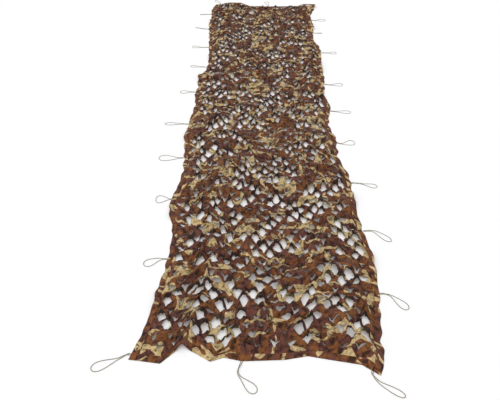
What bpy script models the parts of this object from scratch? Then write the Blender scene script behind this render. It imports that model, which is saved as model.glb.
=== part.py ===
"""Camouflage netting, 1.5 m x 6 m, lying loosely on the ground.

One incised sheet with a turned hem, cut through by staggered bell-shaped openings, and cord
tie loops that leave the hem at its corners and about every 0.6 m along its sides.
Metres, +Z up. +Y runs from the near end to the far end. The origin is the bottom centre of
the netting's box.
"""

import math
import random

import bmesh
import bpy
from mathutils import Vector
from mathutils.geometry import delaunay_2d_cdt, interpolate_bezier

# --- sheet -------------------------------------------------------------------------------
PANEL_THICKNESS = 0.002
HEM_THICKNESS = 0.003
HEM_WIDTH = 0.038
SHARPEST_MITRE = 0.6  # least cosine of half a corner's turn, so that no mitre runs far in
EDGE_STEPS = 2  # straight runs for each stretch of the outline

# Where the two long edges lie, in steps from the far end to the near end.
SIDES = (
    # y, left x, right x
    (2.76, -0.753, 0.738),
    (2.52, -0.740, 0.682),
    (2.20, -0.746, 0.700),
    (1.90, -0.728, 0.672),
    (1.64, -0.706, 0.668),
    (1.44, -0.690, 0.718),
    (1.20, -0.668, 0.718),
    (0.95, -0.660, 0.695),
    (0.76, -0.682, 0.694),
    (0.62, -0.738, 0.702),
    (0.35, -0.724, 0.673),
    (0.20, -0.742, 0.660),
    (-0.04, -0.714, 0.698),
    (-0.38, -0.740, 0.644),
    (-0.62, -0.750, 0.688),
    (-0.92, -0.725, 0.670),
    (-1.18, -0.700, 0.735),
    (-1.40, -0.726, 0.730),
    (-1.66, -0.752, 0.735),
    (-1.88, -0.694, 0.750),
    (-2.20, -0.686, 0.783),
    (-2.44, -0.708, 0.762),
    (-2.66, -0.730, 0.742),
    (-2.84, -0.758, 0.708),
)

# The two ends, each from left to right.
NEAR_END = (
    # x, y
    (-0.800, -2.985),
    (-0.610, -3.008),
    (-0.553, -2.950),
    (-0.495, -2.892),
    (-0.405, -2.940),
    (-0.318, -2.990),
    (-0.240, -2.962),
    (-0.131, -2.984),
    (0.122, -2.970),
    (0.259, -2.943),
    (0.358, -2.960),
    (0.569, -2.994),
    (0.667, -3.060),
    (0.706, -2.960),
)
FAR_END = (
    # x, y
    (-0.705, 3.000),
    (-0.503, 2.995),
    (-0.350, 2.988),
    (-0.194, 2.938),
    (0.032, 2.922),
    (0.258, 2.926),
    (0.515, 2.948),
    (0.643, 2.985),
    (0.790, 2.950),
)

# Folds and bunched stretches, and the share of their width in which no opening is cut.
BUNCHED_SHARE = 0.42
FOLDS = (
    # x and y of one end, x and y of the other, width, height
    (-0.56, -2.30, 0.04, -2.38, 0.105, 0.026),  # bunching across the near quarter
    (0.14, -2.38, 0.58, -2.22, 0.100, 0.030),
    (-0.02, -2.80, 0.20, -2.79, 0.085, 0.012),
    (0.40, -2.58, 0.635, -2.93, 0.070, 0.042),  # pleat that runs into the pulled-out corner
    (-0.66, -2.86, -0.47, -2.80, 0.060, 0.020),
    (-0.495, -2.89, -0.470, -2.74, 0.065, 0.030),  # hem drawn up at the notch
    (-0.56, -1.37, -0.30, -1.42, 0.080, 0.020),
    (0.40, -1.36, 0.60, -1.26, 0.080, 0.024),
    (-0.20, -0.98, 0.08, -0.88, 0.085, 0.022),
    (0.12, -0.08, 0.40, -0.18, 0.085, 0.022),
    (0.22, 0.44, 0.52, 0.32, 0.090, 0.026),
    (-0.45, 0.62, -0.20, 0.74, 0.085, 0.022),
    (0.08, 1.42, 0.36, 1.36, 0.085, 0.022),
    (-0.40, 1.62, -0.62, 1.72, 0.080, 0.024),
    (0.05, 2.36, 0.52, 2.50, 0.095, 0.028),
    (-0.58, 2.62, -0.10, 2.70, 0.100, 0.030),
    (-0.52, 2.96, -0.34, 2.97, 0.130, 0.032),  # far hem lifted beside the left corner
    (0.62, 2.93, 0.76, 2.93, 0.110, 0.028),
    (0.68, 2.14, 0.68, 2.06, 0.090, 0.026),
    (0.71, 1.00, 0.70, 0.80, 0.090, 0.020),
    (0.70, -1.58, 0.73, -1.48, 0.090, 0.022),
    (0.78, -2.22, 0.77, -2.14, 0.090, 0.018),
    (-0.75, 2.30, -0.74, 2.20, 0.090, 0.024),
    (-0.66, 1.16, -0.66, 1.10, 0.090, 0.018),
    (-0.74, 0.62, -0.73, 0.54, 0.090, 0.026),
    (-0.75, -0.66, -0.74, -0.60, 0.080, 0.020),
    (-0.75, -1.74, -0.75, -1.66, 0.080, 0.020),
    (-0.72, -2.60, -0.72, -2.50, 0.080, 0.020),
)
CREST_SPACING = 0.12

# --- openings ----------------------------------------------------------------------------
# The real slits repeat about every 0.1 m by 0.06 m. The sheet is cut at about twice that pitch.
OPENING_PITCH_X = 0.186
OPENING_PITCH_Y = 0.137
OPENING_WIDTH = (0.124, 0.156)  # least and most
OPENING_HEIGHT = (0.074, 0.112)
OPENING_TURN = math.radians(16)
OPENING_SHIFT = 0.012
OPENING_FROM_HEM = 0.010
ROW_BOW = 0.018  # how far a row wanders along Y
BELL = (
    # across, along, least lift and most lift of the cloth in metres
    (-0.15, 0.50, 0.010, 0.028),  # drawn-up tongue over the opening
    (-0.25, 0.02, 0.004, 0.016),
    (-0.50, -0.20, 0.002, 0.012),
    (0.00, -0.50, 0.000, 0.004),
    (0.50, -0.20, 0.002, 0.012),
    (0.25, 0.02, 0.004, 0.016),
    (0.15, 0.50, 0.010, 0.028),
)
SEED = 6

# --- ties --------------------------------------------------------------------------------
CORD_DIAMETER = 0.004
CORD_GAP = 0.0003  # between the hem and a cord's end
LEG_GAP = 0.0045  # from a tie's axis to each of its two legs
EXIT_RUN = 0.008
HUMP = 0.0046  # rise of the leg that passes over the other
LOOP_STEPS = 12
AXIS_STEPS = 60
FIRST_TURN_SHARE = 0.12  # share of the reach in which a tie takes its first turn
LAST_TURN_SHARE = 0.5
LOOP_SWELL = 0.65  # widest that the swelling curve gets

TIES = (
    # name, edge, place along it, reach, stem, loop width, first and last turn, crossings
    ("tie_left_1", "left", 2.580, 0.170, 0.070, 0.016, 0, 1, 0),
    ("tie_left_2", "left", 2.030, 0.200, 0.100, 0.022, 0, -30, 1),
    ("tie_left_3", "left", 1.430, 0.215, 0.090, 0.050, 0, -14, 0),
    ("tie_left_4", "left", 0.864, 0.200, 0.070, 0.040, 0, -6, 1),
    ("tie_left_5", "left", 0.252, 0.170, 0.040, 0.054, 0, 10, 0),
    ("tie_left_6", "left", -0.400, 0.232, 0.060, 0.040, 0, 4, 0),
    ("tie_left_7", "left", -0.965, 0.222, 0.030, 0.078, 0, -8, 0),
    ("tie_left_8", "left", -1.540, 0.130, 0.016, 0.085, 0, 6, 0),
    ("tie_left_9", "left", -2.190, 0.172, 0.030, 0.060, 0, 30, 0),
    ("tie_near_left", "left", -2.952, 0.238, 0.070, 0.056, 50, 43, 1),
    ("tie_right_1", "right", 2.370, 0.195, 0.040, 0.070, 0, 4, 0),
    ("tie_right_2", "right", 1.916, 0.120, 0.050, 0.018, 0, 6, 0),
    ("tie_right_3", "right", 1.290, 0.190, 0.080, 0.054, 0, 2, 0),
    ("tie_right_4", "right", 0.454, 0.200, 0.060, 0.058, 0, 10, 1),
    ("tie_right_5", "right", -0.120, 0.210, 0.050, 0.050, 0, 4, 0),
    ("tie_right_6", "right", -0.700, 0.180, 0.045, 0.072, -22, 20, 0),
    ("tie_right_7", "right", -1.300, 0.220, 0.100, 0.046, 0, -14, 2),
    ("tie_right_8", "right", -1.880, 0.232, 0.050, 0.044, 0, -52, 0),
    ("tie_right_9", "right", -2.470, 0.220, 0.070, 0.050, 0, -46, 1),
    ("tie_near_right", "near", 0.626, 0.232, 0.050, 0.034, 62, 92, 1),
    ("tie_near_middle", "near", -0.133, 0.235, 0.100, 0.050, -14, 56, 1),
    ("tie_far_middle", "far", 0.080, 0.200, 0.050, 0.060, 0, 12, 0),
    ("tie_far_left", "far", -0.650, 0.190, 0.060, 0.050, 0, 40, 0),
)


def clear_scene():
    for item in list(bpy.data.objects):
        bpy.data.objects.remove(item)


def material(name, colour, roughness):
    made = bpy.data.materials.new(name)
    made.use_nodes = True
    shader = made.node_tree.nodes["Principled BSDF"]
    shader.inputs["Base Color"].default_value = (*colour, 1)
    shader.inputs["Roughness"].default_value = roughness
    shader.inputs["Metallic"].default_value = 0
    return made


# --- plan geometry -----------------------------------------------------------------------
def smooth_run(corners):
    """The points of a gently rounded line through the corners, as plane vectors."""
    knots = [Vector(corner) for corner in corners]
    run = []
    for i in range(len(knots) - 1):
        before = knots[max(i - 1, 0)]
        after = knots[min(i + 2, len(knots) - 1)]
        start, end = knots[i], knots[i + 1]
        reach = (end - start).length / 3
        leave = start + (end - before).normalized() * reach
        arrive = end - (after - start).normalized() * reach
        run += [p.to_2d() for p in interpolate_bezier(start, leave, arrive, end, EDGE_STEPS + 1)[:-1]]
    return run + [knots[-1].to_2d()]


def edges_of_sheet():
    """The four edges as named runs of points, each going anticlockwise round the sheet."""
    right = [NEAR_END[-1], *((x, y) for y, _, x in reversed(SIDES)), FAR_END[-1]]
    left = [FAR_END[0], *((x, y) for y, x, _ in SIDES), NEAR_END[0]]
    runs = {
        "near": [Vector(corner) for corner in NEAR_END],
        "right": smooth_run(right),
        "far": [Vector(corner) for corner in reversed(FAR_END)],
        "left": smooth_run(left),
    }
    corners = [point for run in runs.values() for point in run]
    middle = Vector(
        (
            (min(p.x for p in corners) + max(p.x for p in corners)) / 2,
            (min(p.y for p in corners) + max(p.y for p in corners)) / 2,
        )
    )
    return {name: [point - middle for point in run] for name, run in runs.items()}, middle


def outward(start, end):
    """The outward normal of one stretch of an anticlockwise outline."""
    along = (end - start).normalized()
    return Vector((along.y, -along.x))


def inset(loop, distance):
    """The loop moved inwards, with each corner mitred."""
    moved = []
    for i, point in enumerate(loop):
        before = outward(loop[i - 1], point)
        after = outward(point, loop[(i + 1) % len(loop)])
        mitre = (before + after).normalized()
        moved.append(point - mitre * distance / max(mitre.dot(after), SHARPEST_MITRE))
    return moved


def from_segment(point, start, end):
    along = end - start
    share = max(0.0, min(1.0, (point - start).dot(along) / along.length_squared))
    return (point - start - along * share).length


def inside(point, loop):
    crossings = 0
    for start, end in zip(loop, loop[1:] + loop[:1]):
        if (start.y > point.y) != (end.y > point.y):
            crossings += point.x < start.x + (point.y - start.y) / (end.y - start.y) * (end.x - start.x)
    return crossings % 2 == 1


def clear_of(point, loop):
    return min(from_segment(point, start, end) for start, end in zip(loop, loop[1:] + loop[:1]))


# --- netting -----------------------------------------------------------------------------
def fold_lines(middle):
    for x0, y0, x1, y1, width, height in FOLDS:
        yield Vector((x0, y0)) - middle, Vector((x1, y1)) - middle, width, height


def lie(point, folds):
    """How high the underside of the cloth lies, from the folds alone."""
    highest = 0.0
    for start, end, width, height in folds:
        share = from_segment(point, start, end) / width
        if share < 1:
            highest = max(highest, height * (1 - share**2) ** 2)
    return highest


def bell(centre, width, height, turn, chance):
    """One opening: its corners, anticlockwise, and how far the cloth is lifted at each."""
    cos, sin = math.cos(turn), math.sin(turn)
    corners = []
    lifts = []
    for across, along, least, most in BELL:
        x, y = across * width, along * height
        corners.append(centre + Vector((x * cos - y * sin, x * sin + y * cos)))
        lifts.append(chance.uniform(least, most))
    return corners, lifts


def openings(hem_line, folds):
    """Staggered rows of openings over the whole sheet, left out where it is bunched."""
    chance = random.Random(SEED)
    half_length = max(point.y for point in hem_line)
    half_width = max(abs(point.x) for point in hem_line)
    rows = int(half_length / OPENING_PITCH_Y)
    columns = int(half_width / OPENING_PITCH_X) + 1
    cut = []
    for row in range(-rows, rows + 1):
        for column in range(-columns, columns + 1):
            x = (column + 0.5 * (row % 2)) * OPENING_PITCH_X
            y = row * OPENING_PITCH_Y + ROW_BOW * math.sin(5 * x + 0.7 * row)
            shift = Vector((chance.uniform(-1, 1), chance.uniform(-1, 1))) * OPENING_SHIFT
            width = chance.uniform(*OPENING_WIDTH)
            height = chance.uniform(*OPENING_HEIGHT)
            turn = chance.uniform(-1, 1) * OPENING_TURN
            centre = Vector((x, y)) + shift
            corners, lifts = bell(centre, width, height, turn, chance)
            bunched = any(from_segment(centre, a, b) < BUNCHED_SHARE * wide for a, b, wide, _ in folds)
            fits = all(inside(p, hem_line) and clear_of(p, hem_line) > OPENING_FROM_HEM for p in corners)
            if fits and not bunched:
                cut.append((corners, lifts))
    return cut


def crest_points(folds, hem_line, cut):
    """Points along the fold crests, so that the cloth's triangles follow them."""
    points = []
    for start, end, _, _ in folds:
        steps = max(1, round((end - start).length / CREST_SPACING))
        for step in range(steps + 1):
            point = start.lerp(end, step / steps)
            in_panel = inside(point, hem_line) and clear_of(point, hem_line) > OPENING_FROM_HEM / 2
            in_opening = any(inside(point, corners) for corners, _ in cut)
            if in_panel and not in_opening:
                points.append(point)
    return points


def netting(outline, middle, cloth):
    """The incised sheet with its turned hem, as one closed solid."""
    folds = list(fold_lines(middle))
    hem_line = inset(outline, HEM_WIDTH)
    cut = openings(hem_line, folds)
    points = outline + hem_line
    lifts = [0.0] * len(points)
    count = len(outline)
    faces = [list(range(count))]
    edges = [(count + i, count + (i + 1) % count) for i in range(count)]
    for corners, rises in cut:
        faces.append(list(range(len(points), len(points) + len(corners))))
        points = points + corners
        lifts += rises
    crests = crest_points(folds, hem_line, cut)
    points = points + crests
    lifts += [0.0] * len(crests)
    plan, _, triangles, sources, _, owners = delaunay_2d_cdt(points, edges, faces, 0, 1e-6)

    mesh = bmesh.new()
    lower, upper = [], []
    for point, source in zip(plan, sources):
        height = lie(point, folds) + (lifts[source[0]] if source else 0.0)
        in_hem = bool(source) and source[0] < 2 * count
        thickness = HEM_THICKNESS if in_hem else PANEL_THICKNESS
        lower.append(mesh.verts.new((point.x, point.y, height)))
        upper.append(mesh.verts.new((point.x, point.y, height + thickness)))
    sides = set()
    for (a, b, c), owner in zip(triangles, owners):
        if owner == [0]:
            mesh.faces.new((upper[a], upper[b], upper[c]))
            mesh.faces.new((lower[c], lower[b], lower[a]))
            sides |= {(a, b), (b, c), (c, a)}
    for a, b in sorted(sides):
        if (b, a) not in sides:
            mesh.faces.new((lower[a], lower[b], upper[b], upper[a]))
    bmesh.ops.delete(mesh, geom=[v for v in mesh.verts if not v.link_faces], context="VERTS")
    data = bpy.data.meshes.new("netting")
    mesh.to_mesh(data)
    mesh.free()
    data.materials.append(cloth)
    made = bpy.data.objects.new("netting", data)
    bpy.context.collection.objects.link(made)
    return made


# --- ties --------------------------------------------------------------------------------
def leave_hem(run, axis, place):
    """The point of an edge at the given place along an axis, and its outward normal."""
    for start, end in zip(run, run[1:]):
        low, high = sorted((start[axis], end[axis]))
        if low <= place <= high:
            point = start.lerp(end, (place - start[axis]) / (end[axis] - start[axis]))
            return point, outward(start, end)
    raise ValueError("this place isn't on the edge")


def tie_plan(reach, stem, width, crossings):
    """The tie before it is turned: distance out, offset to the left and height, along the cord."""
    low = CORD_DIAMETER / 2
    steps = 2 * max(1, crossings)
    out = [(0.0, LEG_GAP, low), (EXIT_RUN, LEG_GAP, low)]
    back = [(0.0, -LEG_GAP, low), (EXIT_RUN, -LEG_GAP, low)]
    for step in range(1, steps):
        along = EXIT_RUN + (stem - EXIT_RUN) * step / steps
        offset = LEG_GAP * math.cos(math.pi * crossings * step / steps)
        crossing = crossings > 0 and step % 2 == 1
        out.append((along, offset, low + HUMP * crossing))
        back.append((along, -offset, low))
    side = (-1) ** crossings
    loop = []
    for step in range(LOOP_STEPS + 1):
        angle = math.tau * step / LOOP_STEPS
        along = stem + (reach - stem) * (1 - math.cos(angle)) / 2
        swell = math.sin(angle) * math.sin(angle / 2) ** 2 / LOOP_SWELL
        loop.append((along, side * (LEG_GAP * math.cos(angle / 2) + width / 2 * swell), low))
    return out + loop + back[::-1]


def eased(low, high, value):
    """0 below low, 1 above high and a smooth rise between them."""
    share = min(1.0, max(0.0, (value - low) / (high - low)))
    return share * share * (3 - 2 * share)


def heading_at(share, first_turn, last_turn):
    """How far the tie's axis has turned at this share of its reach, in radians."""
    turned = first_turn * eased(0.0, FIRST_TURN_SHARE, share)
    turned += (last_turn - first_turn) * eased(FIRST_TURN_SHARE, LAST_TURN_SHARE, share)
    return math.radians(turned)


def axis_points(start, normal, reach, first_turn, last_turn):
    """The tie's axis on the ground, in small steps: point and unit direction."""
    points = []
    point = start.copy()
    for step in range(AXIS_STEPS + 1):
        swing = heading_at(step / AXIS_STEPS, first_turn, last_turn)
        direction = Vector(
            (
                normal.x * math.cos(swing) - normal.y * math.sin(swing),
                normal.x * math.sin(swing) + normal.y * math.cos(swing),
            )
        )
        points.append((point.copy(), direction))
        point += direction * (reach / AXIS_STEPS)
    return points


def tie(name, start, normal, reach, stem, width, turns, crossings, cord):
    """One cord, folded into a loop, lying on the ground with both ends at the hem."""
    axis = axis_points(start, normal, reach, *turns)
    curve = bpy.data.curves.new(name, "CURVE")
    curve.dimensions = "3D"
    curve.bevel_depth = CORD_DIAMETER / 2
    curve.bevel_resolution = 2
    curve.use_fill_caps = True
    route = tie_plan(reach, stem, width, crossings)
    spline = curve.splines.new("POLY")
    spline.points.add(len(route) - 1)
    for knot, (along, offset, height) in zip(spline.points, route):
        place = along / reach * (len(axis) - 1)
        index = min(int(place), len(axis) - 2)
        point = axis[index][0].lerp(axis[index + 1][0], place - index)
        direction = axis[index][1]
        knot.co = (point.x - direction.y * offset, point.y + direction.x * offset, height, 1)
    curve.materials.append(cord)
    made = bpy.data.objects.new(name, curve)
    bpy.context.collection.objects.link(made)
    return made


def main():
    clear_scene()
    cloth = material("camouflage_cloth", (0.11, 0.045, 0.024), 0.85)
    cord = material("tie_cord", (0.42, 0.38, 0.30), 0.8)
    runs, middle = edges_of_sheet()
    outline = [point for run in runs.values() for point in run[:-1]]
    netting(outline, middle, cloth)
    for name, edge, place, reach, stem, width, *turns, crossings in TIES:
        axis = 0 if edge in ("near", "far") else 1
        point, normal = leave_hem(runs[edge], axis, place - middle[axis])
        start = point + normal * CORD_GAP
        tie(name, start, normal, reach, stem, width, turns, crossings, cord)


main()
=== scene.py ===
"""Dresses the camouflage netting: incised printed cloth, cord ties and a pale floor."""

import math

import bpy
import numpy as np
from bpy.props import FloatProperty, FloatVectorProperty, PointerProperty
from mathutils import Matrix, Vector


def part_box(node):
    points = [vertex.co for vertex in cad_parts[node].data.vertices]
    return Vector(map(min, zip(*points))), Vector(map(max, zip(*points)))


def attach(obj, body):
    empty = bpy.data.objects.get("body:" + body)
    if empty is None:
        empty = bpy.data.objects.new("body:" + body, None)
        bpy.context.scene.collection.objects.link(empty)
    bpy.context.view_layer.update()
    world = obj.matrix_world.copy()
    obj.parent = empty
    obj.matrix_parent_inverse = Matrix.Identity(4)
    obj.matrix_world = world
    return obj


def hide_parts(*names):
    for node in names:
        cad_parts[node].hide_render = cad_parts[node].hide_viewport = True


bl_info = {
    "name": "Camouflage netting",
    "version": (1, 0, 0),
    "blender": (4, 5, 0),
    "location": "View3D > Sidebar > Netting",
    "description": "An incised camouflage net laid on the ground, with its hem and its cord ties",
    "category": "Object",
}

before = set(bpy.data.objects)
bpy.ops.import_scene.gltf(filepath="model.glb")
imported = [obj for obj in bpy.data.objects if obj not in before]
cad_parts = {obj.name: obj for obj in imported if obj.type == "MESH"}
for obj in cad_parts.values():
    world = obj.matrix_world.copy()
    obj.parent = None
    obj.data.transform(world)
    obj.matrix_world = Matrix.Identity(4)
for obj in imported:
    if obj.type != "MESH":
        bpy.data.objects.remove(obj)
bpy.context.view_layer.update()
HALF_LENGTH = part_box("netting")[1].y  # of the laid net

# --- how the net lies ---
EDGE_STEPS = 2  # straight runs for each stretch of a long edge

# The two long edges, in steps from the far end to the near end.
SIDES = (
    # y, left x, right x
    (2.76, -0.753, 0.738),
    (2.52, -0.74, 0.682),
    (2.2, -0.746, 0.7),
    (1.9, -0.728, 0.672),
    (1.64, -0.706, 0.668),
    (1.44, -0.69, 0.718),
    (1.2, -0.668, 0.718),
    (0.95, -0.66, 0.695),
    (0.76, -0.682, 0.694),
    (0.62, -0.738, 0.702),
    (0.35, -0.724, 0.673),
    (0.2, -0.742, 0.66),
    (-0.04, -0.714, 0.698),
    (-0.38, -0.74, 0.644),
    (-0.62, -0.75, 0.688),
    (-0.92, -0.725, 0.67),
    (-1.18, -0.7, 0.735),
    (-1.4, -0.726, 0.73),
    (-1.66, -0.752, 0.735),
    (-1.88, -0.694, 0.75),
    (-2.2, -0.686, 0.783),
    (-2.44, -0.708, 0.762),
    (-2.66, -0.73, 0.742),
    (-2.84, -0.758, 0.708),
)

# The two ends, each from left to right.
NEAR_END = (
    # x, y
    (-0.8, -2.985),
    (-0.61, -3.008),
    (-0.553, -2.95),
    (-0.495, -2.892),
    (-0.405, -2.94),
    (-0.318, -2.99),
    (-0.24, -2.962),
    (-0.131, -2.984),
    (0.122, -2.97),
    (0.259, -2.943),
    (0.358, -2.96),
    (0.569, -2.994),
    (0.667, -3.06),
    (0.706, -2.96),
)
FAR_END = (
    # x, y
    (-0.705, 3.0),
    (-0.503, 2.995),
    (-0.35, 2.988),
    (-0.194, 2.938),
    (0.032, 2.922),
    (0.258, 2.926),
    (0.515, 2.948),
    (0.643, 2.985),
    (0.79, 2.95),
)

# Large folds and bunched stretches: the ends of each crest, its half width and its height.
FOLDS = (
    # x and y of one end, x and y of the other, width, height
    (-0.56, -2.3, 0.04, -2.38, 0.105, 0.026),  # bunching across the near quarter
    (0.14, -2.38, 0.58, -2.22, 0.1, 0.03),
    (-0.02, -2.8, 0.2, -2.79, 0.085, 0.012),
    (0.4, -2.58, 0.635, -2.93, 0.07, 0.042),  # pleat that runs into the pulled-out corner
    (-0.66, -2.86, -0.47, -2.8, 0.06, 0.02),
    (-0.495, -2.89, -0.47, -2.74, 0.065, 0.03),  # hem drawn up at the notch
    (-0.56, -1.37, -0.3, -1.42, 0.08, 0.02),
    (0.4, -1.36, 0.6, -1.26, 0.08, 0.024),
    (-0.2, -0.98, 0.08, -0.88, 0.085, 0.022),
    (0.12, -0.08, 0.4, -0.18, 0.085, 0.022),
    (0.22, 0.44, 0.52, 0.32, 0.09, 0.026),
    (-0.45, 0.62, -0.2, 0.74, 0.085, 0.022),
    (0.08, 1.42, 0.36, 1.36, 0.085, 0.022),
    (-0.4, 1.62, -0.62, 1.72, 0.08, 0.024),
    (0.05, 2.36, 0.52, 2.5, 0.095, 0.028),
    (-0.58, 2.62, -0.1, 2.7, 0.1, 0.03),
    (-0.52, 2.96, -0.34, 2.97, 0.13, 0.032),  # far hem lifted beside the left corner
    (0.62, 2.93, 0.76, 2.93, 0.11, 0.028),
    (0.68, 2.14, 0.68, 2.06, 0.09, 0.026),
    (0.71, 1.0, 0.7, 0.8, 0.09, 0.02),
    (0.7, -1.58, 0.73, -1.48, 0.09, 0.022),
    (0.78, -2.22, 0.77, -2.14, 0.09, 0.018),
    (-0.75, 2.3, -0.74, 2.2, 0.09, 0.024),
    (-0.66, 1.16, -0.66, 1.1, 0.09, 0.018),
    (-0.74, 0.62, -0.73, 0.54, 0.09, 0.026),
    (-0.75, -0.66, -0.74, -0.6, 0.08, 0.02),
    (-0.75, -1.74, -0.75, -1.66, 0.08, 0.02),
    (-0.72, -2.6, -0.72, -2.5, 0.08, 0.02),
)

# Where the slits are pulled open (above 0) or pushed shut (below 0).
PULLS = (
    # x, y, half length across, half length along, pull
    (-0.25, -2.62, 0.5, 0.17, 0.45),
    (0.35, -2.66, 0.3, 0.15, 0.15),
    (0.0, -2.33, 0.85, 0.13, -0.75),
    (0.08, -2.88, 0.4, 0.1, -0.8),
    (-0.2, -1.85, 0.55, 0.32, 0.45),
    (0.35, -1.6, 0.45, 0.2, 0.35),
    (-0.6, -1.4, 0.22, 0.12, -0.6),
    (0.5, -1.3, 0.25, 0.12, -0.4),
    (-0.25, -1.1, 0.35, 0.14, 0.35),
    (-0.05, -0.9, 0.25, 0.1, -0.55),
    (-0.15, -0.42, 0.45, 0.22, 0.45),
    (0.6, -0.45, 0.18, 0.45, 0.4),
    (0.28, -0.15, 0.18, 0.12, -0.6),
    (-0.15, 0.12, 0.5, 0.15, 0.4),
    (0.38, 0.4, 0.22, 0.16, -0.6),
    (-0.32, 0.68, 0.2, 0.12, -0.5),
    (-0.45, 1.1, 0.3, 0.2, 0.45),
    (0.22, 1.05, 0.3, 0.2, 0.3),
    (0.2, 1.4, 0.3, 0.12, -0.5),
    (0.0, 1.9, 0.65, 0.3, 0.3),
    (0.1, 2.68, 0.85, 0.32, -0.55),
)

# --- incised cloth ---
# Lengths are in metres and angles in radians. A pair that sets how something eases in gives
# where it starts and where it is full.
SEED = 21
SLITS = 14  # in every other row, and one fewer in the rows between
ROWS = 96
SIDE_MARGIN = 0.04
FAR_MARGIN = 0.062
NEAR_MARGIN = 0.11
LAID_WIDTH = 1.45
FLAT_LENGTH = 6.0  # of the cloth before it was gathered along its length

BAND_LINES = 6
END_BAND_LINES = {0: 3, ROWS: 7}  # in the plain bands at the far and near ends
BESIDE_HEM = 0.006  # from the hem to the first line of points inside it
HEM_STEPS = (0.0, 0.004, 0.014, 0.026)
HEM_SEAM = (-0.001, 0.0005)  # steps on both sides of the hem's width
UNDER_STEPS = (0.022, 0.004)
HEM_TOP = 0.003  # height of the hem's top layer above the floor
HEM_UNDER = 0.0008
HEM_RISE = 0.0014  # of the doubled cloth above the single one
HEM_FOLD_DROP = 0.0016
UNDER_SHARE = 0.8  # of the top layer's rise that the layer below follows
HEM_WANDER = 0.0045

# How far the slits are pulled open.
PULL_EASE = 0.7  # below 1, a pull keeps its full strength further from its middle
OPEN_BROAD = 0.75  # share of the broad waves, beside the pulls
OPEN_FINE = 0.5
MEAN_OPENING = 0.0024  # half of what a row of slits adds to the net's length
WIDEST_OPENING = 0.0018
OPENING_EASE = (0.0, 0.25)  # from the side hems
NECK_WANDER = (0.005, 0.007, 0.004)  # across, along and up
LARGEST_WANDER = 2  # in shares of the above
SIDE_NECK_WANDER = 0.3
SAG_POWER = 1.5  # above 1, a slit runs down more steeply towards its middle

# What the tongues do. A pair of figures is the least and the most.
FOLDED_SHUT = 0.08  # share of the tongues that are folded back where the net is shut
FOLDED_OPEN = 0.68
FOLDED_EASE = (-0.5, 0.8)
RAISED_SHARE = 0.15  # of the tongues that aren't folded back, which stand up instead
TONGUE_DEPTH = (0.45, 1.1)  # in full slit depths
RAISED_ANGLE = (0.7, 1.2)
LYING_ANGLE = 0.05
LYING_RANGE = 0.45
LYING_ARCH = 0.004
SHALLOW_ARCH = 1.45  # what a shallow tongue lacks in depth is made up in how far it is folded
HABITS = {
    # how it is drawn, and least and most or mean and spread
    "aside": ("normal", 0, 0.06),
    "round": ("uniform", 0.6, 1.5),  # the lower, the blunter a folded tongue's tip
    "narrow": ("uniform", 2.9, 3.6),  # how quickly it gets narrower away from its middle
    "angle": ("uniform", 2.5, 3.1),  # of a folded tongue
    "tilt": ("normal", 0, 0.8),
    "bunch": ("uniform", 0.35, 0.75),
    "extra": ("uniform", -0.008, 0.004),  # length of a lying tongue
    "skew": ("normal", 0, 0.12),
    "twist": ("normal", 0, 0.2),
    "lean": ("normal", 0, 0.2),
    "lip": ("normal", 0.002, 0.007),  # height of the cloth above a slit
}
BUNCHED_EASE = (1.2, 2.2)  # in angle
LIP_REACH = 2.2  # how soon the lip dies away down the band
FAR_PART = (0.95, 0.6)  # shares of the rows, from the near end to where the far look is full
FAR_ARCH = 1.1  # how much further back the tongues fold in the far part than at the near end
FAR_NARROW = 0.6
FAR_FLATTER = 0.8
FLAT_BACK = 3.1  # angle of a tongue that lies flat on the band above it
SHORTEST_FOLD = 0.012  # cloth taken up in a fold's bend
LONGEST_FOLD = 0.026
FOLD_EASE = (0.0, 0.024)
LONGEST_FLAP = 0.9  # share of a band's height
BEND_SHARE = 0.7  # largest share of a flap that its bend takes up

# How the cloth lies and wrinkles.
WAVE_SPREAD = (0.7, 1.6)  # shortest and longest wave of a field, in its own length
WAVES = {
    # length, and how many times as long across the net
    "open_broad": (0.24, 2.2),
    "open_fine": (0.12, 1.5),
    "wander": (0.55, 1.0),
    "slack": (0.17, 1.0),
    "gather": (0.085, 3.0),
    "ripple": (0.055, 1.0),
    "crumple": (0.062, 1.4),
    "scallop": (0.12, 1.0),
}
SIDEWAYS_WANDER = 0.004
LENGTHWAYS_WANDER = 0.008
FREE_EASE = (0.03, 0.16)  # from the hem
LOOSE_EASE = (0.035, 0.075)
INSIDE_EASE = (-0.002, 0.04)
LENGTHWAYS_EASE = 1.6
HEM_SIDE_EASE = (0.03, 0.1)
HEM_END_EASE = (0.0, 0.02)
LEAST_LIFT = 0.003
SLACK_LIFT = 0.004
MOST_SLACK = 1.6
# Height where the net is open, and what is added where it is shut.
GATHERED = (0.004, 0.008)
RIPPLED = (0.0025, 0.0025)
CRUMPLED = (0.007, 0.008)
SHUT_EASE = (-0.9, 0.4)
FAR_RELIEF = 0.2  # share of the near end's relief that is left in the far part
FAR_RELIEF_FROM = 0.3  # of the half length
ROUGHNESS = 0.002
TURNED_EASE = (0.8, 1.8)  # in angle, over which a turned tongue takes on the near-black back colour, partly painted shade
LARGEST_LIFT = 0.05
LIFT_ROOM = 0.01  # in which the highest tips are held down
LIFT_EASE = 0.014
FLOOR_ROOM = 0.0012
FLOOR_EASE = 0.002
PRINT_SHIFT_IN_HEM = (0.37, 0.81)  # where the print of the turned cloth comes from


def rounded_run(corners, steps):
    """Points of a gently rounded line through the corners."""
    knots = [Vector(corner) for corner in corners]
    run = []
    for i in range(len(knots) - 1):
        before = knots[max(i - 1, 0)]
        after = knots[min(i + 2, len(knots) - 1)]
        start, end = knots[i], knots[i + 1]
        reach = (end - start).length / 3
        leave = start + (end - before).normalized() * reach
        arrive = end - (after - start).normalized() * reach
        for step in range(steps):
            share = step / steps
            left = 1 - share
            spot = start * left**3 + leave * 3 * left * left * share
            run.append(spot + arrive * 3 * left * share * share + end * share**3)
    return np.array([*run, knots[-1]])


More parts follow.
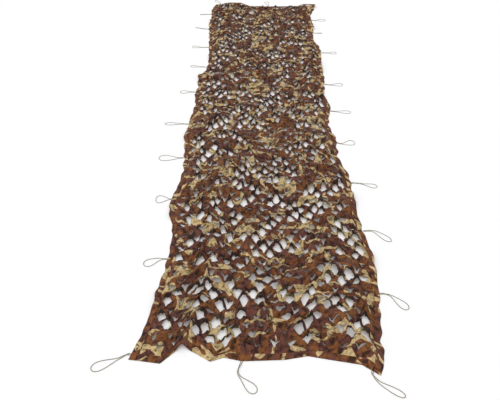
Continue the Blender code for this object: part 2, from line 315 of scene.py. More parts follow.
def plan_edges():
    """The four edges in the plan: the long ones from far to near, the ends from left to right."""
    left = [FAR_END[0], *((x, y) for y, x, _ in SIDES), NEAR_END[0]]
    right = [FAR_END[-1], *((x, y) for y, _, x in SIDES), NEAR_END[-1], NEAR_END[-2]]
    return {
        "left": rounded_run(left, EDGE_STEPS),
        "right": rounded_run(right, EDGE_STEPS),
        "near": np.array(NEAR_END[:-1]),
        "far": np.array(FAR_END),
    }


PLAN = plan_edges()
CORNERS = np.concatenate([*PLAN.values()])
MIDDLE = (CORNERS.min(0) + CORNERS.max(0)) / 2  # of the sheet, which is the frame's origin
EDGES = {name: run - MIDDLE for name, run in PLAN.items()}


def along(run, share, axis):
    """Points of a run at these shares of the way from its first to its last point on one axis."""
    travel = (run[:, axis] - run[0, axis]) / (run[-1, axis] - run[0, axis])
    return np.stack([np.interp(share, travel, run[:, i]) for i in range(2)], -1)


def smooth(low, high, value):
    share = np.clip((value - low) / (high - low), 0, 1)
    return share * share * (3 - 2 * share)


class Waves:
    """A smooth random field of about one wavelength, which may be longer across than along."""

    def __init__(self, chance, length, stretch, count=26):
        turn = chance.uniform(0, math.tau, count)
        size = math.tau / (length * chance.uniform(*WAVE_SPREAD, count))
        self.across = size * np.cos(turn) / stretch
        self.down = size * np.sin(turn)
        self.phase = chance.uniform(0, math.tau, count)
        self.scale = math.sqrt(2 / count)

    def at(self, x, y):
        total = np.zeros(np.broadcast(x, y).shape)
        for across, down, phase in zip(self.across, self.down, self.phase):
            total += np.sin(across * x + down * y + phase)
        return total * self.scale


def fold_height(x, y):
    """How high the large folds carry the cloth."""
    highest = np.zeros(np.broadcast(x, y).shape)
    for x0, y0, x1, y1, width, height in FOLDS:
        start = np.array([x0, y0]) - MIDDLE
        run = np.array([x1 - x0, y1 - y0])
        share = ((x - start[0]) * run[0] + (y - start[1]) * run[1]) / (run @ run)
        share = np.clip(share, 0, 1)
        away = np.hypot(x - start[0] - share * run[0], y - start[1] - share * run[1]) / width
        highest = np.maximum(highest, height * np.clip(1 - away**2, 0, 1) ** 2)
    return highest


def pull_at(x, y):
    total = np.zeros(np.broadcast(x, y).shape)
    for centre_x, centre_y, across, down, pull in PULLS:
        away = ((x + MIDDLE[0] - centre_x) / across) ** 2
        away = away + ((y + MIDDLE[1] - centre_y) / down) ** 2
        total += pull * np.clip(1 - away, 0, 1) ** PULL_EASE
    return total


class Cut:
    """How the flat cloth is cut: its columns of points, and where each row of slits meets them."""

    def __init__(self, sizes):
        self.sizes = sizes
        self.width = 2 * SIDE_MARGIN + SLITS * sizes.pitch
        self.length = FAR_MARGIN + (ROWS - 1) * sizes.band + NEAR_MARGIN
        self.edge = sizes.neck / 2 / sizes.pitch
        half_neck = sizes.neck / 2
        half_pitch = sizes.pitch / 2
        steps = (0.0, half_neck / 2, half_neck, half_pitch / 2)
        steps += (half_pitch - half_neck, half_pitch - half_neck / 2)
        halves = [SIDE_MARGIN + half * half_pitch for half in range(2 * SLITS)]
        cut = [start + step for start in halves for step in steps]
        cut.append(self.width - SIDE_MARGIN)
        hem = [*HEM_STEPS, *(sizes.hem + step for step in (*HEM_SEAM, BESIDE_HEM))]
        side = [*UNDER_STEPS, *hem]
        mirrored = [self.width - step for step in reversed(side)]
        self.across = np.array([*side, *cut, *mirrored])
        layers = self.layers(len(hem))
        self.under = np.array([*layers, *[0.0] * len(cut), *reversed(layers)])
        self.node_columns = len(side) + len(steps) * np.arange(2 * SLITS + 1)
        self.hem_rows = side

    def layers(self, count):
        """1 for a point of the layer turned under, 0.5 for one on the fold, 0 for one on top."""
        return [1.0] * len(UNDER_STEPS) + [0.5] + [0.0] * (count - 1)

    def slits_of(self, row):
        """For each column: the row's slit that it is in or -1, its place there, and if it is cut."""
        place = (self.across - SIDE_MARGIN) / self.sizes.pitch - 0.5 * (row % 2)
        slit = np.floor(place + 1e-9).astype(int)
        share = place - slit
        in_row = (slit >= 0) & (slit < SLITS - row % 2)
        cut = in_row & (share > self.edge + 1e-6) & (share < 1 - self.edge - 1e-6)
        return np.where(in_row, slit, -1), share, cut

    def sag(self, share, deep, aside):
        """Depth of a slit below its two ends: 0 at the necks, steeper to its pointed middle."""
        inside = np.clip((share - self.edge) / (1 - 2 * self.edge), 0, 1)
        inside = inside - aside * np.sin(math.pi * inside)
        return deep * self.sizes.depth * np.clip(2 * np.minimum(inside, 1 - inside), 0, 1) ** SAG_POWER


class Nodes:
    """The uncut necks that join the bands: how each has moved across, along and up."""

    def __init__(self, chance, cut, opening):
        self.cut = cut
        self.opening = opening[:, cut.node_columns]
        shape = (ROWS, 2 * SLITS + 1)
        wander = np.clip(chance.normal(0, 1, (*shape, 3)), -LARGEST_WANDER, LARGEST_WANDER)
        self.moved = wander * NECK_WANDER
        self.moved[..., 2] = abs(self.moved[..., 2])
        self.moved[:, (0, -1)] *= SIDE_NECK_WANDER

    def moves(self, number):
        """How the necks above and below a band move it at each column."""
        move = np.zeros((2 * SLITS + 1, 3))
        for row, way in ((number - 1, -1), (number, 1)):
            if 0 <= row < ROWS:
                own = slice(row % 2, None, 2)
                move[own] = self.moved[row, own]
                move[own, 1] += way * self.opening[row, own]
        place = (self.cut.across - SIDE_MARGIN) / (self.cut.sizes.pitch / 2)
        place = np.clip(place, 0, 2 * SLITS)
        left = np.minimum(place.astype(int), 2 * SLITS - 1)
        share = (place - left)[:, None]
        share = (share + smooth(0, 1, share)) / 2
        return move[left] * (1 - share) + move[left + 1] * share


class Band:
    """The strip of cloth between two rows of slits, laid out column by column."""

    def __init__(self, number, cut, nodes, tongues):
        sizes = cut.sizes
        columns = len(cut.across)
        line = FAR_MARGIN + (number - 1) * sizes.band
        self.number = number
        self.roll = sizes.roll
        self.top = np.full(columns, sizes.hem + BESIDE_HEM)
        self.bottom = np.full(columns, cut.length - sizes.hem - BESIDE_HEM)
        self.sway, self.shift, self.lift = nodes.moves(number).T
        self.above = self.below = None
        if number > 0:
            self.above = slit, share, open_here = cut.slits_of(number - 1)
            deep, aside = (tongues[name][number - 1, slit] for name in ("deep", "aside"))
            self.top = line + cut.sag(share, deep, aside) * (slit >= 0)
            self.lip = tongues["lip"][number - 1, slit]
        if number < ROWS:
            self.below = slit, share, open_here = cut.slits_of(number)
            own = {name: table[number, slit] for name, table in tongues.items()}
            self.bottom = line + sizes.band + cut.sag(share, own["deep"], own["aside"]) * (slit >= 0)
            off_centre = share - 0.5 - own["aside"] / 2
            flap = np.clip(1 - (own["narrow"] * off_centre) ** 2, 0, 1) ** own["round"]
            flap *= own["deep"] * sizes.depth + own["arch"]
            flap *= 1 + own["tilt"] * off_centre
            base = line + sizes.band - own["arch"]
            self.fold_line = np.where(own["folded"], self.bottom - flap, base)
            self.fold_line = np.where(open_here, self.fold_line, self.bottom)
            self.angle = own["angle"] * (1 + own["skew"] * (share - 0.5) * 4)
            self.tongue = own

    def places(self):
        """Where the band's lines run, as shares of its height at each column."""
        count = END_BAND_LINES.get(self.number, BAND_LINES)
        even = np.repeat(np.linspace(0, 1, count)[:, None], len(self.top), 1)
        if self.number in END_BAND_LINES:
            return even
        height = self.bottom - self.top
        flap = np.clip((self.bottom - self.fold_line) / height, 0, LONGEST_FLAP)
        fold = 1 - flap
        bend = np.clip(self.angle * self.roll, SHORTEST_FOLD, LONGEST_FOLD)
        arc = np.minimum(bend / height, flap * BEND_SHARE)
        bent = np.array([0 * fold, fold / 2, fold, fold + arc / 2, fold + arc, 0 * fold + 1])
        return even + (bent - even) * smooth(*FOLD_EASE, flap * height)

    def line(self, place):
        """One line of the band: flat place, shift along the net, sway across it and rise."""
        t = self.top + (self.bottom - self.top) * place
        shift = self.shift.copy()
        sway = self.sway.copy()
        rise = self.lift.copy()
        turned = np.zeros(len(t))
        if self.below:
            _, share, open_here = self.below
            hang = np.clip(t - self.fold_line, 0, None) * open_here
            rolled = np.minimum(hang, self.angle * self.roll)
            turned = rolled / self.roll
            free = (hang - rolled) * (1 - self.tongue["bunch"] * smooth(*BUNCHED_EASE, self.angle))
            shift = shift + self.roll * np.sin(turned) + free * np.cos(turned) - hang
            rise = rise + self.roll * (1 - np.cos(turned)) + free * np.sin(turned)
            rise = rise + self.tongue["twist"] * (share - 0.5) * hang * 3
            sway = sway + self.tongue["lean"] * hang
            shift = shift + self.tongue["extra"] * place * np.sin(math.pi * share) ** 2 * open_here
        if self.above:
            _, share, open_here = self.above
            near_lip = np.clip(1 - place * LIP_REACH, 0, 1) * np.sin(math.pi * share) ** 2
            rise = rise + open_here * self.lip * near_lip
        return t, shift, sway, rise, turned


def tongue_habits(chance, cut, pulled):
    """What each tongue of cloth does: most lie nearly flat, the others are folded back."""
    shape = (ROWS, SLITS)
    amount = np.zeros(shape)
    for row in range(ROWS):
        slit = cut.slits_of(row)[0]
        for number in range(SLITS - row % 2):
            amount[row, number] = pulled[row, slit == number].mean()
    luck = chance.uniform(0, 1, shape)
    folded = luck < FOLDED_SHUT + (FOLDED_OPEN - FOLDED_SHUT) * smooth(*FOLDED_EASE, amount)
    lying = LYING_ANGLE + LYING_RANGE * chance.uniform(0, 1, shape)
    raised = chance.uniform(0, 1, shape) < RAISED_SHARE
    deep = chance.uniform(*TONGUE_DEPTH, shape)
    lying = np.where(raised, chance.uniform(*RAISED_ANGLE, shape), lying)
    habits = {name: getattr(chance, kind)(*how, shape) for name, (kind, *how) in HABITS.items()}
    farther = smooth(*FAR_PART, np.arange(ROWS) / ROWS)[:, None]
    arch = np.where(folded, cut.sizes.arch * (SHALLOW_ARCH - deep), LYING_ARCH)
    habits.update(deep=deep, folded=folded, arch=arch * (1 + FAR_ARCH * farther))
    habits["narrow"] *= 1 + FAR_NARROW * farther
    habits["extra"] = np.where(folded, 0.0, habits["extra"])
    habits["angle"] = np.where(folded, habits["angle"], lying)
    habits["angle"] += folded * FAR_FLATTER * farther * (FLAT_BACK - habits["angle"])
    return habits


def pulled_open(cut, waves):
    """How far each row is pulled at each column, from -1 where it is shut to 1 where it is open."""
    x = (cut.across / cut.width - 0.5) * LAID_WIDTH
    share = (FAR_MARGIN + np.arange(ROWS)[:, None] * cut.sizes.band) / cut.length
    y = HALF_LENGTH * (1 - 2 * share)
    broad, fine = (waves[name].at(x, y) for name in ("open_broad", "open_fine"))
    return np.tanh(OPEN_BROAD * broad + OPEN_FINE * fine + pull_at(x, y))


def cloth_lines(cut, chance, pulled):
    """The net's lines from far to near, and after which lines and at which columns it is cut."""
    columns = len(cut.across)
    from_side = np.minimum(cut.across, cut.width - cut.across)
    opening = WIDEST_OPENING * pulled * smooth(*OPENING_EASE, from_side)
    opening += MEAN_OPENING - opening.mean(0)
    nodes = Nodes(chance, cut, opening)
    tongues = tongue_habits(chance, cut, pulled)
    travel = np.concatenate([np.zeros((1, columns)), np.cumsum(2 * opening, 0)])

    lines = []
    seams = {}
    none = np.zeros(columns)
    layers = cut.layers(len(cut.hem_rows) - len(UNDER_STEPS))[:-1]
    for t, layer in zip(cut.hem_rows[:-1], layers):
        lines.append((np.full(columns, t), none, none, none, none + layer, none))
    for number in range(ROWS + 1):
        band = Band(number, cut, nodes, tongues)
        for place in band.places():
            t, shift, sway, rise, turned = band.line(place)
            lines.append((t, shift + travel[number], sway, rise, none, turned))
        if number < ROWS:
            seams[len(lines) - 1] = band.below[2]
    for t, layer in zip(reversed(cut.hem_rows[:-1]), reversed(layers)):
        lines.append((np.full(columns, cut.length - t), travel[ROWS], none, none, none + layer, none))
    return lines, seams, travel[ROWS]


def on_plan(u, v):
    """The plan at these shares of the way across and down, spread between the four edges."""
    far, near = along(EDGES["far"], u, 0), along(EDGES["near"], u, 0)
    left, right = along(EDGES["left"], v, 1), along(EDGES["right"], v, 1)
    across, below = u[..., None], v[..., None]
    spot = (1 - below) * far + below * near + (1 - across) * left + across * right
    spot -= (1 - across) * ((1 - below) * EDGES["far"][0] + below * EDGES["near"][0])
    spot -= across * ((1 - below) * EDGES["far"][-1] + below * EDGES["near"][-1])
    return spot[..., 0], spot[..., 1]


def cloth_grid(cut, chance):
    """Every point of the net: its place, its flat place and how far it is turned; and the cuts."""
    waves = {name: Waves(chance, *size) for name, size in WAVES.items()}
    pulled = pulled_open(cut, waves)
    lines, seams, longer = cloth_lines(cut, chance, pulled)
    t, shift, sway, rise, under, turned = (np.array(column) for column in zip(*lines))
    under = under + cut.under[None, :]
    turned = smooth(*TURNED_EASE, turned)
    s = np.broadcast_to(cut.across, t.shape)
    inside_from, inside_full = INSIDE_EASE
    from_rim = from_hem(s, t, cut)
    inside = smooth(cut.sizes.hem + inside_from, cut.sizes.hem + inside_full, from_rim)
    u = s / cut.width
    straight = t / cut.length
    v = (t + shift) / (cut.length + longer)
    v = straight + (v - straight) * np.clip(inside * LENGTHWAYS_EASE, 0, 1)
    x, y = on_plan(u, v)
    x = x + sway * inside

    from_side, from_end = np.minimum(u, 1 - u), np.minimum(v, 1 - v)
    from_edge = np.minimum(from_side * LAID_WIDTH, from_end * FLAT_LENGTH)
    free = smooth(*FREE_EASE, from_edge)
    x = x + free * SIDEWAYS_WANDER * waves["wander"].at(x + 3, y)
    y = y + free * LENGTHWAYS_WANDER * waves["wander"].at(x, y)
    beside = 1 - smooth(*HEM_SIDE_EASE, from_side)
    x = x + beside * smooth(*HEM_END_EASE, from_end) * HEM_WANDER * waves["scallop"].at(np.sign(x), y)

    loose = smooth(*LOOSE_EASE, from_edge)
    z = HEM_TOP + fold_height(x, y) + rise * inside
    relief = np.interp(y, (-HALF_LENGTH, FAR_RELIEF_FROM * HALF_LENGTH), (1.0, FAR_RELIEF))
    slack = np.clip(0.5 + 0.5 * waves["slack"].at(x, y), 0, MOST_SLACK)
    z = z + loose * (LEAST_LIFT + SLACK_LIFT * relief * slack)
    rows_down = np.arange(ROWS) * cut.sizes.band + FAR_MARGIN
    opened = [np.interp(t[:, i], rows_down, pulled[:, i]) for i in range(len(cut.across))]
    shut = 1 - smooth(*SHUT_EASE, np.array(opened).T)
    for (low, more), wrinkle in (
        (GATHERED, 0.5 + waves["gather"].at(x, y)),
        (RIPPLED, waves["ripple"].at(x, y)),
        (CRUMPLED, np.abs(waves["crumple"].at(x, y))),
    ):
        z = z + loose * (low * relief + more * shut) * wrinkle
    x = x + free * chance.normal(0, ROUGHNESS, x.shape)
    y = y + free * chance.normal(0, ROUGHNESS, x.shape)
    z = z + loose * chance.normal(0, ROUGHNESS, x.shape)
    z = settled(z + HEM_RISE * (from_rim < cut.sizes.hem))
    z = np.where(under > 0.75, HEM_UNDER + (z - HEM_TOP) * UNDER_SHARE, z)
    z = np.where(abs(under - 0.5) < 0.1, z - HEM_FOLD_DROP, z)
    return x, y, np.maximum(z, HEM_UNDER), s, t, turned, seams


def from_hem(s, t, cut):
    """Distance from the nearest edge of the flat cloth."""
    return np.minimum(np.minimum(s, cut.width - s), np.minimum(t, cut.length - t))


def settled(z):
    """Rests what would sink into the floor on it, and keeps the highest tips from standing up."""
    low = HEM_UNDER + FLOOR_ROOM
    sunk = HEM_UNDER + FLOOR_ROOM * np.exp(np.minimum((z - low) / FLOOR_EASE, 0))
    z = np.where(z < low, sunk, z)
    high = LARGEST_LIFT - LIFT_ROOM
    return np.where(z > high, high + LIFT_ROOM * np.tanh((z - high) / LIFT_EASE), z)


def cloth_mesh(cut, chance):
    """Points, faces, and for each point its flat place, its turn and whether a cut runs by it."""
    x, y, z, s, t, turned, seams = cloth_grid(cut, chance)
    # Marks the points beside open cuts, which the material darkens with painted shade.
    cut_shade_mask = np.zeros(x.shape)
    index = np.arange(x.size).reshape(x.shape)
    for line, open_here in seams.items():
        cut_shade_mask[line : line + 2, open_here] = 1
        joined = ~open_here
        for grid in (x, y, z):
            grid[line, joined] = (grid[line, joined] + grid[line + 1, joined]) / 2
        index[line + 1, joined] = index[line, joined]
    whole = [line for line in range(len(x) - 1) if line not in seams]
    a, b = index[whole], index[1:][whole]
    faces = np.stack([b[:, :-1], b[:, 1:], a[:, 1:], a[:, :-1]], -1)
    used, faces = np.unique(faces, return_inverse=True)
    faces = faces.reshape(-1, 4)
    points = np.stack([x, y, z], -1).reshape(-1, 3)[used]
    flat = np.stack([s, t], -1).reshape(-1, 2)[used]
    return points, faces, flat, turned.ravel()[used], cut_shade_mask.ravel()[used]


def placed(name, data):
    """A new object in the scene."""
    made = bpy.data.objects.new(name, data)
    bpy.context.scene.collection.objects.link(made)
    return made


def add_mesh(name, points, faces):
    mesh = bpy.data.meshes.new(name)
    mesh.from_pydata(points.astype(np.float32), [], faces.astype(np.int32))
    mesh.shade_smooth()
    return placed(name, mesh)


# --- cord ties ---
TIES = (
    # name, edge, place along it, reach, stem, loop width, first and last turn, crossings
    ("tie_left_1", "left", 2.58, 0.17, 0.07, 0.016, 0, 1, 0),
    ("tie_left_2", "left", 2.03, 0.2, 0.1, 0.022, 0, -30, 1),
    ("tie_left_3", "left", 1.43, 0.215, 0.09, 0.05, 0, -14, 0),
    ("tie_left_4", "left", 0.864, 0.2, 0.07, 0.04, 0, -6, 1),
    ("tie_left_5", "left", 0.252, 0.17, 0.04, 0.054, 0, 10, 0),
    ("tie_left_6", "left", -0.4, 0.232, 0.06, 0.04, 0, 4, 0),
    ("tie_left_7", "left", -0.965, 0.222, 0.03, 0.078, 0, -8, 0),
    ("tie_left_8", "left", -1.54, 0.13, 0.016, 0.085, 0, 6, 0),
    ("tie_left_9", "left", -2.19, 0.172, 0.03, 0.06, 0, 30, 0),
    ("tie_near_left", "left", -2.952, 0.238, 0.07, 0.056, 50, 43, 1),
    ("tie_right_1", "right", 2.37, 0.195, 0.04, 0.07, 0, 4, 0),
    ("tie_right_2", "right", 1.916, 0.12, 0.05, 0.018, 0, 6, 0),
    ("tie_right_3", "right", 1.29, 0.19, 0.08, 0.054, 0, 2, 0),
    ("tie_right_4", "right", 0.454, 0.2, 0.06, 0.058, 0, 10, 1),
    ("tie_right_5", "right", -0.12, 0.21, 0.05, 0.05, 0, 4, 0),
    ("tie_right_6", "right", -0.7, 0.18, 0.045, 0.072, -22, 20, 0),
    ("tie_right_7", "right", -1.3, 0.22, 0.1, 0.046, 0, -14, 2),
    ("tie_right_8", "right", -1.88, 0.232, 0.05, 0.044, 0, -52, 0),
    ("tie_right_9", "right", -2.47, 0.22, 0.07, 0.05, 0, -46, 1),
    ("tie_near_right", "near", 0.626, 0.232, 0.05, 0.034, 62, 92, 1),
    ("tie_near_middle", "near", -0.133, 0.235, 0.1, 0.05, -14, 56, 1),
    ("tie_far_middle", "far", 0.08, 0.2, 0.05, 0.06, 0, 12, 0),
    ("tie_far_left", "far", -0.65, 0.19, 0.06, 0.05, 0, 40, 0),
)

CORD_GAP = 0.0003  # between the hem and a cord's end
LEG_GAP = 0.0045  # from a tie's axis to each of its two legs
EXIT_RUN = 0.008
HUMP = 0.0046  # rise of the leg that passes over the other
LOOP_STEPS = 16
FIRST_TURN_SHARE = 0.12  # share of the reach in which a tie takes its first turn
LAST_TURN_SHARE = 0.5
LOOP_SWELL = 0.65  # widest that the swelling curve gets
AXIS_STEPS = 60


def leave_hem(edge, place):
    """The point of an edge at this place along it, and the outward direction there."""
    axis = 0 if edge in ("near", "far") else 1
    run = EDGES[edge]
    place = place - MIDDLE[axis]
    for start, end in zip(run, run[1:]):
        low, high = sorted((start[axis], end[axis]))
        if low <= place <= high:
            point = start + (end - start) * (place - start[axis]) / (end[axis] - start[axis])
            way = (end - start) / np.linalg.norm(end - start)
            side = 1 if edge in ("left", "near") else -1
            return Vector(point), Vector((way[1], -way[0])) * side
    raise ValueError(f"{place} isn't on the {edge} edge")


def tie_plan(reach, stem, width, crossings, diameter):
    """The tie before it is turned: distance out, offset to the left and height, along the cord."""
    low = diameter / 2
    steps = 4 * max(1, crossings)
    out = [(0.0, LEG_GAP, low), (EXIT_RUN, LEG_GAP, low)]
    back = [(0.0, -LEG_GAP, low), (EXIT_RUN, -LEG_GAP, low)]
    for step in range(1, steps):
        along_stem = EXIT_RUN + (stem - EXIT_RUN) * step / steps
        twist = math.pi * crossings * step / steps
        offset = LEG_GAP * math.cos(twist)
        out.append((along_stem, offset, low + HUMP * math.sin(twist) ** 2))
        back.append((along_stem, -offset, low))
    side = (-1) ** crossings
    loop = []
    for step in range(LOOP_STEPS + 1):
        angle = math.tau * step / LOOP_STEPS
        along_loop = stem + (reach - stem) * (1 - math.cos(angle)) / 2
        swell = math.sin(angle) * math.sin(angle / 2) ** 2 / LOOP_SWELL
        loop.append((along_loop, side * (LEG_GAP * math.cos(angle / 2) + width / 2 * swell), low))
    return out + loop + back[::-1]


def axis_points(start, normal, reach, first_turn, last_turn):
    """The tie's axis on the ground, in small steps: point and unit direction."""
    points = []
    point = start.copy()
    for step in range(AXIS_STEPS + 1):
        share = step / AXIS_STEPS
        turned = first_turn * smooth(0, FIRST_TURN_SHARE, share)
        turned += (last_turn - first_turn) * smooth(FIRST_TURN_SHARE, LAST_TURN_SHARE, share)
        swing = math.radians(turned)
        cos, sin = math.cos(swing), math.sin(swing)
        direction = Vector((normal.x * cos - normal.y * sin, normal.x * sin + normal.y * cos))
        points.append((point.copy(), direction))
        point += direction * (reach / AXIS_STEPS)
    return points


def tie_route(edge, place, reach, stem, width, first_turn, last_turn, crossings, diameter):
    """The points that one tie follows on the floor, from the hem round its loop and back."""
    point, normal = leave_hem(edge, place)
    axis = axis_points(point + normal * CORD_GAP, normal, reach, first_turn, last_turn)
    route = []
    for out, offset, height in tie_plan(reach, stem, width, crossings, diameter):
        step = out / reach * (len(axis) - 1)
        index = min(int(step), len(axis) - 2)
        spot = axis[index][0].lerp(axis[index + 1][0], step - index)
        way = axis[index][1].lerp(axis[index + 1][1], step - index)
        route.append(Vector((spot.x - way.y * offset, spot.y + way.x * offset, height)))
    return route


def cord_curve(name, route, diameter):
    curve = bpy.data.curves.new(name, "CURVE")
    curve.dimensions = "3D"
    curve.bevel_depth = diameter / 2
    curve.bevel_resolution = 3
    curve.resolution_u = 5
    curve.use_fill_caps = True
    spline = curve.splines.new("BEZIER")
    spline.bezier_points.add(len(route) - 1)
    for knot, point in zip(spline.bezier_points, route):
        knot.co = point
        knot.handle_left_type = knot.handle_right_type = "AUTO"
    return placed(name, curve)


# --- materials ---
# Patches, spots and grain are given by how many there are to the metre. An edge is the pair of
# noise heights between which one colour gives way to the next.
BROWN_PATCHES = 9.0
BROWN_EDGE = (0.495, 0.525)
OLIVE_SPECKS = 36.0
OLIVE_EDGE = (0.67, 0.70)
STROKE_SWINGS = (4.0, 5.4)  # of a tan stroke's path, across and along
STROKE_GAPS = (6.0, 7.0)  # between the strokes
STROKE_HALF_WIDTH = 0.046  # in noise height, as are the next two
STROKE_TAPER = (1.5, -0.755)
STROKE_EDGE = 0.006
MOTTLE_PATCHES = 26.0
MOTTLE_EDGE = (0.32, 0.60)
# What a dye is multiplied by, in the random dark spots and away from them.
BROWN_MOTTLE = ((0.22, 0.205, 0.195, 1), (1.26, 1.26, 1.26, 1))
TAN_MOTTLE = ((0.62, 0.60, 0.58, 1), (1.08, 1.08, 1.08, 1))
SHADED_REVERSE_SHARE = 0.9  # share of the near-black back colour in a turned tongue: the cloth's real back, darkened as painted shade
# Painted shade along the slits' cut edges: a near-black band a few millimetres wide, where curled
# edges would lie in shadow.
CUT_SHADE_RAMP = (0.50, 0.90)
CUT_SHADE_DARKNESS = 0.85
CREASES = 38.0
CREASE_DEPTH = 0.026
DRAWN_THREAD = 0.002  # metres from one to the next, as for the strands
DRAWN_STRAND = 0.0022
CORD_WEAR = 60.0
PAPER_GRAIN = 300.0
WAVE_TURN = math.tau / 20  # a wave texture's scale for one band to the metre


def srgb(code):
    """The three channels of a hex value."""
    return tuple(int(code[i : i + 2], 16) / 255 for i in (1, 3, 5))


def linear(colour):
    """The linear colour of three sRGB channels."""
    return (*[c / 12.92 if c <= 0.04045 else ((c + 0.055) / 1.055) ** 2.4 for c in colour], 1)


def node(tree, kind, settings=None, **inputs):
    """Adds a node, sets what it is set to, and links or fills its inputs by name or number."""
    made = tree.nodes.new(f"ShaderNode{kind}")
    for name, value in (settings or {}).items():
        setattr(made, name, value)
    for key, value in inputs.items():
        number = key.lstrip("i")
        socket = made.inputs[int(number)] if number.isdigit() else made.inputs[key.replace("_", " ")]
        if isinstance(value, bpy.types.NodeSocket):
            tree.links.new(value, socket)
        else:
            socket.default_value = value
    return made


def new_material(name):
    made = bpy.data.materials.new(name)
    made.use_nodes = True
    made.node_tree.nodes.clear()
    return made, made.node_tree


def step_between(tree, value, low, high):
    """0 below low, 1 above high and a smooth rise between them."""
    chosen = {"interpolation_type": "SMOOTHSTEP"}
    return node(tree, "MapRange", chosen, i0=value, i1=low, i2=high).outputs[0]


def math_of(tree, operation, first, second=0.0, third=0.0):
    chosen = {"operation": operation}
    return node(tree, "Math", chosen, i0=first, i1=second, i2=third).outputs[0]


def blend(tree, share, first, second, kind="MIX"):
    chosen = {"data_type": "RGBA", "blend_type": kind}
    return node(tree, "Mix", chosen, i0=share, i6=first, i7=second).outputs[2]


def noise(tree, place, scale, detail=2.0, rough=0.5, distortion=0.0):
    chosen = {"noise_dimensions": "2D"}
    look = {"Scale": scale, "Detail": detail, "Roughness": rough, "Distortion": distortion}
    return node(tree, "TexNoise", chosen, Vector=place, **look).outputs[0]


def strands(tree, place, direction, apart, waver):
    """Rounded threads side by side, at this distance from each other."""
    chosen = {"bands_direction": direction}
    look = {"Scale": WAVE_TURN / apart, "Distortion": waver}
    return node(tree, "TexWave", chosen, Vector=place, **look).outputs[1]


def relief(tree, height, strength, distance, **below):
    made = node(tree, "Bump", None, Strength=strength, Distance=distance, Height=height, **below)
    return made.outputs[0]


def mapped(tree, place, across, down, **how):
    """The place moved across and down, and perhaps turned and scaled."""
    made = node(tree, "Mapping", None, Vector=place, Location=(across, down, 0), **how)
    return made.outputs[0]


def shine(tree, **inputs):
    """Ends a material with its shader."""
    shader = node(tree, "BsdfPrincipled", None, **inputs)
    node(tree, "OutputMaterial", None, Surface=shader.outputs[0])


def swings(tree, place, turn, scale, start, waver):
    """Noise in long patches which lie at an angle of some degrees."""
    how = {"Rotation": (0, 0, math.radians(turn)), "Scale": (*scale, 1)}
    return noise(tree, mapped(tree, place, start, start / 2, **how), 1.0, 1.0, 0.5, waver)


def brush_stroke(tree, place, turn, start):
    """1 on winding strokes of about one width, which taper to nothing at both ends."""
    path = swings(tree, place, turn, STROKE_SWINGS, start, 0.35)
    away = math_of(tree, "ABSOLUTE", math_of(tree, "SUBTRACT", path, 0.5))
    room = swings(tree, place, turn, STROKE_GAPS, start + 20, 0.3)
    reach = math_of(tree, "MULTIPLY_ADD", room, *STROKE_TAPER)
    reach = math_of(tree, "MINIMUM", reach, STROKE_HALF_WIDTH)
    return step_between(tree, math_of(tree, "SUBTRACT", reach, away), 0.0, STROKE_EDGE)


def cloth_material(colours):
    """Woven polyester, printed in three colours and a little olive.

    Its thin coating gives a low, broad shine. The threads are 0.4 mm apart, which no view shows,
    so the weave is drawn at 2 mm.
    """
    made, tree = new_material("printed_polyester_cloth")
    place = node(tree, "UVMap", {"uv_map": "flat"}).outputs[0]
    red, rust = linear(colours.red_brown), linear(colours.rust_brown)
    tan, olive = linear(colours.tan), linear(colours.olive)

    patches = noise(tree, place, BROWN_PATCHES, distortion=0.9)
    ground = blend(tree, step_between(tree, patches, *BROWN_EDGE), red, rust)
    flat_stroke = brush_stroke(tree, place, 25, 3.1)
    steep_stroke = brush_stroke(tree, place, -55, 9.4)
    tan_share = math_of(tree, "MAXIMUM", flat_stroke, steep_stroke)
    specks = noise(tree, mapped(tree, place, 1.7, 5.2), OLIVE_SPECKS, 1.0, 0.4, 0.4)
    tan_ground = blend(tree, step_between(tree, specks, *OLIVE_EDGE), tan, olive)

    # Random dark and light mottling multiplied into both dyes.
    away_from_dark_spots = step_between(tree, noise(tree, place, MOTTLE_PATCHES, 3.0, 0.6, 0.4), *MOTTLE_EDGE)
    brown_mottle_factor = blend(tree, away_from_dark_spots, *BROWN_MOTTLE)
    tan_mottle_factor = blend(tree, away_from_dark_spots, *TAN_MOTTLE)
    brown_print = blend(tree, 1.0, ground, brown_mottle_factor, "MULTIPLY")
    tan_print = blend(tree, 1.0, tan_ground, tan_mottle_factor, "MULTIPLY")
    face = blend(tree, tan_share, brown_print, tan_print)
    # Turned tongues show the cloth's back in near-black: partly its real back, partly painted shade
    # under the folds.
    turned = node(tree, "Attribute", {"attribute_name": "turned_back"}).outputs[2]
    back = blend(tree, SHADED_REVERSE_SHARE, face, linear(colours.reverse))
    either = blend(tree, turned, face, back)
    # Painted shade: a near-black band along the cut edges.
    cut_shade_mask = node(tree, "Attribute", {"attribute_name": "painted_cut_edge_shade"}).outputs[2]
    cut_shade_share = math_of(tree, "MULTIPLY", step_between(tree, cut_shade_mask, *CUT_SHADE_RAMP), CUT_SHADE_DARKNESS)
    colour = blend(tree, cut_shade_share, either, linear(srgb("#20140e")))

    threads = [strands(tree, place, direction, DRAWN_THREAD, 0.4) for direction in "XY"]
    creases = relief(tree, noise(tree, place, CREASES, 4.0, 0.6, 0.3), 1.0, CREASE_DEPTH)
    weave = relief(tree, math_of(tree, "MULTIPLY", *threads), 0.35, 0.0005, Normal=creases)
    shine(
        tree,
        Base_Color=colour,
        Roughness=0.7,
        IOR=1.5,
        Specular_IOR_Level=0.25,
        Sheen_Weight=0.04,
        Sheen_Roughness=0.5,
        Normal=weave,
    )
    return made


